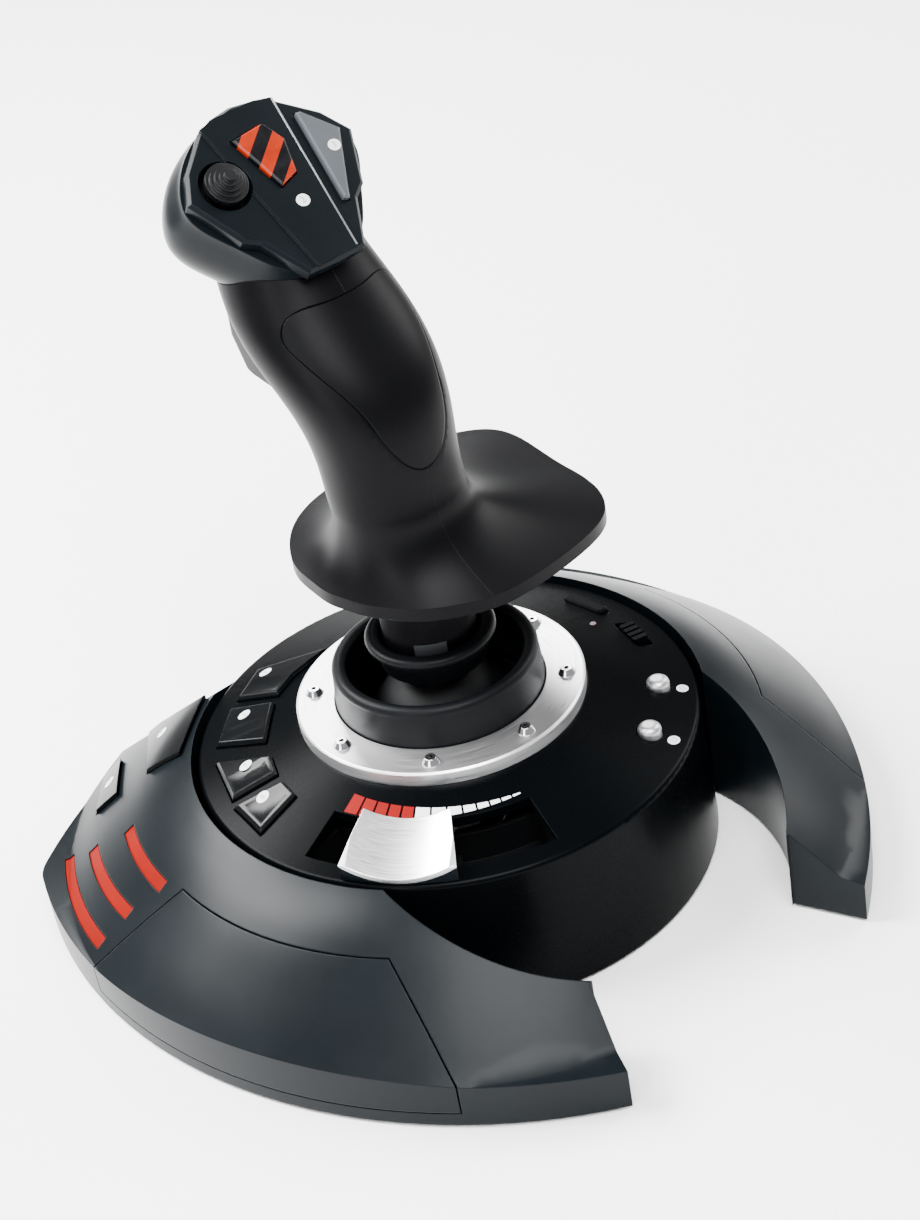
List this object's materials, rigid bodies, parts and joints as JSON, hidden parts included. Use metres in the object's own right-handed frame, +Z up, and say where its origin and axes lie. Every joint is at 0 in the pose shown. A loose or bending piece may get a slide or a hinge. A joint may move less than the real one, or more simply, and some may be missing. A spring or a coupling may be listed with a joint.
{
  "type": "flight joystick",
  "caption": "Desktop flight joystick: winged crescent base with a round control drum, throttle lever, keys, and a twisting grip with hand rest, trigger, hat and thumb buttons.",
  "frame": {"origin": "on the floor, at the foot of the stick axis, the centre of the round drum", "axes": "+Z up, +Y away from the user (front of the base), +X to the user's right"},
  "size_m": [0.2222, 0.2139, 0.2144],
  "materials": {
    "charcoal": "satin",
    "drum_black": "semi gloss",
    "grip_rubber": "soft touch",
    "boot_rubber": "matt",
    "key_black": "semi gloss",
    "silver_metal": "brushed",
    "silver_plastic": "satin metallic",
    "chrome_screw": "polished",
    "stripe_orange": "satin",
    "grey_plastic": "satin",
    "inner_plastic": "matt",
    "steel": "zinc plated",
    "board_green": "solder mask",
    "component_black": "matt",
    "led_red": "clear lens",
    "foot_rubber": "matt"
  },
  "bodies": {
    "base": {"base_bottom": "inner_plastic", "rubber_feet": "foot_rubber", "base_screws": "steel", "ballast_weights": "steel", "crescent_cover": "charcoal", "left_wing_panel": "charcoal", "right_wing_panel": "charcoal", "stripe_inlays": "stripe_orange", "cable_inlet": "boot_rubber", "control_housing": "drum_black", "bezel_ring": "silver_metal", "ring_screws": "chrome_screw", "rubber_collar": "boot_rubber", "mode_switch_body": "component_black", "status_led": "led_red", "button_board": "board_green", "tact_switches": "component_black", "main_board": "board_green", "throttle_tray": "inner_plastic", "gimbal_frame": "inner_plastic", "centering_spring": "steel", "pitch_sensor": "component_black"},
    "pitch_ring": {"pitch_ring": "inner_plastic", "roll_sensor": "component_black"},
    "stick": {"stick_hub": "inner_plastic", "dust_cover": "inner_plastic", "stick_shaft": "steel", "twist_cup": "boot_rubber"},
    "grip": {"grip_left_shell": "grip_rubber", "grip_right_shell": "grip_rubber", "palm_panel": "grip_rubber", "trigger_pin": "steel", "head_housing": "charcoal", "head_plate": "charcoal", "hat_base": "component_black", "head_board": "board_green"},
    "trigger": {"trigger": "key_black"},
    "hat_gimbal": {"hat_gimbal": "inner_plastic"},
    "hat_cap": {"hat_cap": "key_black"},
    "thumb_button_striped": {"thumb_button_striped": "stripe_orange"},
    "thumb_button_grey": {"thumb_button_grey": "grey_plastic"},
    "throttle": {"throttle_carrier": "inner_plastic", "throttle_base": "charcoal", "throttle_cap": "silver_metal"},
    "mapping_button": {"mapping_button": "key_black"},
    "mode_switch": {"mode_switch": "key_black"},
    "side_button_11": {"side_button_11": "silver_plastic"},
    "side_button_12": {"side_button_12": "silver_plastic"},
    "base_button_5": {"base_button_5": "key_black"},
    "base_button_6": {"base_button_6": "key_black"},
    "base_button_7": {"base_button_7": "key_black"},
    "base_button_8": {"base_button_8": "key_black"},
    "base_button_9": {"base_button_9": "key_black"},
    "base_button_10": {"base_button_10": "key_black"}
  },
  "joints": [
    {"name": "stick_pitch", "type": "hinge", "parent": "base", "child": "pitch_ring", "pos_m": [0, 0, 0.041], "axis": [1, 0, 0], "range_deg": [-10, 10], "stiffness_Nm_per_rad": 2.5, "deforming": ["centering_spring"]},
    {"name": "stick_roll", "type": "hinge", "parent": "pitch_ring", "child": "stick", "pos_m": [0, 0, 0.041], "axis": [0, 1, 0], "range_deg": [-10, 10], "stiffness_Nm_per_rad": 2.5, "deforming": ["centering_spring"]},
    {"name": "grip_twist", "type": "hinge", "parent": "stick", "child": "grip", "pos_m": [0, 0, 0.09], "axis": [0, 0, 1], "range_deg": [-15, 15], "stiffness_Nm_per_rad": 0.8},
    {"name": "trigger_pull", "type": "hinge", "parent": "grip", "child": "trigger", "pos_m": [0, 0.044, 0.168], "axis": [-1, 0, 0], "range_deg": [0, 8], "stiffness_Nm_per_rad": 0.3, "springref_deg": -5.73},
    {"name": "hat_tilt_forward", "type": "hinge", "parent": "grip", "child": "hat_gimbal", "pos_m": [-0.0145, 0.03502, 0.19803], "axis": [1, 0, 0], "range_deg": [-7, 7], "stiffness_Nm_per_rad": 0.05},
    {"name": "hat_tilt_sideways", "type": "hinge", "parent": "hat_gimbal", "child": "hat_cap", "pos_m": [-0.0145, 0.03502, 0.19803], "axis": [0, 0.7331, 0.6801], "range_deg": [-7, 7], "stiffness_Nm_per_rad": 0.05},
    {"name": "throttle_swing", "type": "hinge", "parent": "base", "child": "throttle", "pos_m": [0, 0, 0.045], "axis": [0, 0, 1], "range_deg": [-12, 24]},
    {"name": "mode_slide", "type": "slide", "parent": "base", "child": "mode_switch", "axis": [0.2622, 0.965, 0], "range_m": [-0.002, 0.002]},
    {"name": "base_button_5_press", "type": "slide", "parent": "base", "child": "base_button_5", "axis": [0, 0, -1], "range_m": [0, 0.001], "stiffness_N_per_m": 600, "springref_m": -0.0008},
    {"name": "base_button_6_press", "type": "slide", "parent": "base", "child": "base_button_6", "axis": [0, 0, -1], "range_m": [0, 0.001], "stiffness_N_per_m": 600, "springref_m": -0.0008},
    {"name": "base_button_7_press", "type": "slide", "parent": "base", "child": "base_button_7", "axis": [0, 0, -1], "range_m": [0, 0.001], "stiffness_N_per_m": 600, "springref_m": -0.0008},
    {"name": "base_button_8_press", "type": "slide", "parent": "base", "child": "base_button_8", "axis": [0, 0, -1], "range_m": [0, 0.001], "stiffness_N_per_m": 600, "springref_m": -0.0008},
    {"name": "base_button_9_press", "type": "slide", "parent": "base", "child": "base_button_9", "axis": [0, 0, -1], "range_m": [0, 0.001], "stiffness_N_per_m": 600, "springref_m": -0.0008},
    {"name": "base_button_10_press", "type": "slide", "parent": "base", "child": "base_button_10", "axis": [0, 0, -1], "range_m": [0, 0.001], "stiffness_N_per_m": 600, "springref_m": -0.0008},
    {"name": "side_button_11_press", "type": "slide", "parent": "base", "child": "side_button_11", "axis": [0, 0, -1], "range_m": [0, 0.001], "stiffness_N_per_m": 600, "springref_m": -0.0008},
    {"name": "side_button_12_press", "type": "slide", "parent": "base", "child": "side_button_12", "axis": [0, 0, -1], "range_m": [0, 0.001], "stiffness_N_per_m": 600, "springref_m": -0.0008},
    {"name": "mapping_button_press", "type": "slide", "parent": "base", "child": "mapping_button", "axis": [0, 0, -1], "range_m": [0, 0.001], "stiffness_N_per_m": 600, "springref_m": -0.0008},
    {"name": "thumb_button_striped_press", "type": "slide", "parent": "grip", "child": "thumb_button_striped", "axis": [0, 0.6801, -0.7331], "range_m": [0, 0.0008], "stiffness_N_per_m": 600, "springref_m": -0.0008},
    {"name": "thumb_button_grey_press", "type": "slide", "parent": "grip", "child": "thumb_button_grey", "axis": [0, 0.6801, -0.7331], "range_m": [0, 0.0008], "stiffness_N_per_m": 600, "springref_m": -0.0008}
  ]
}
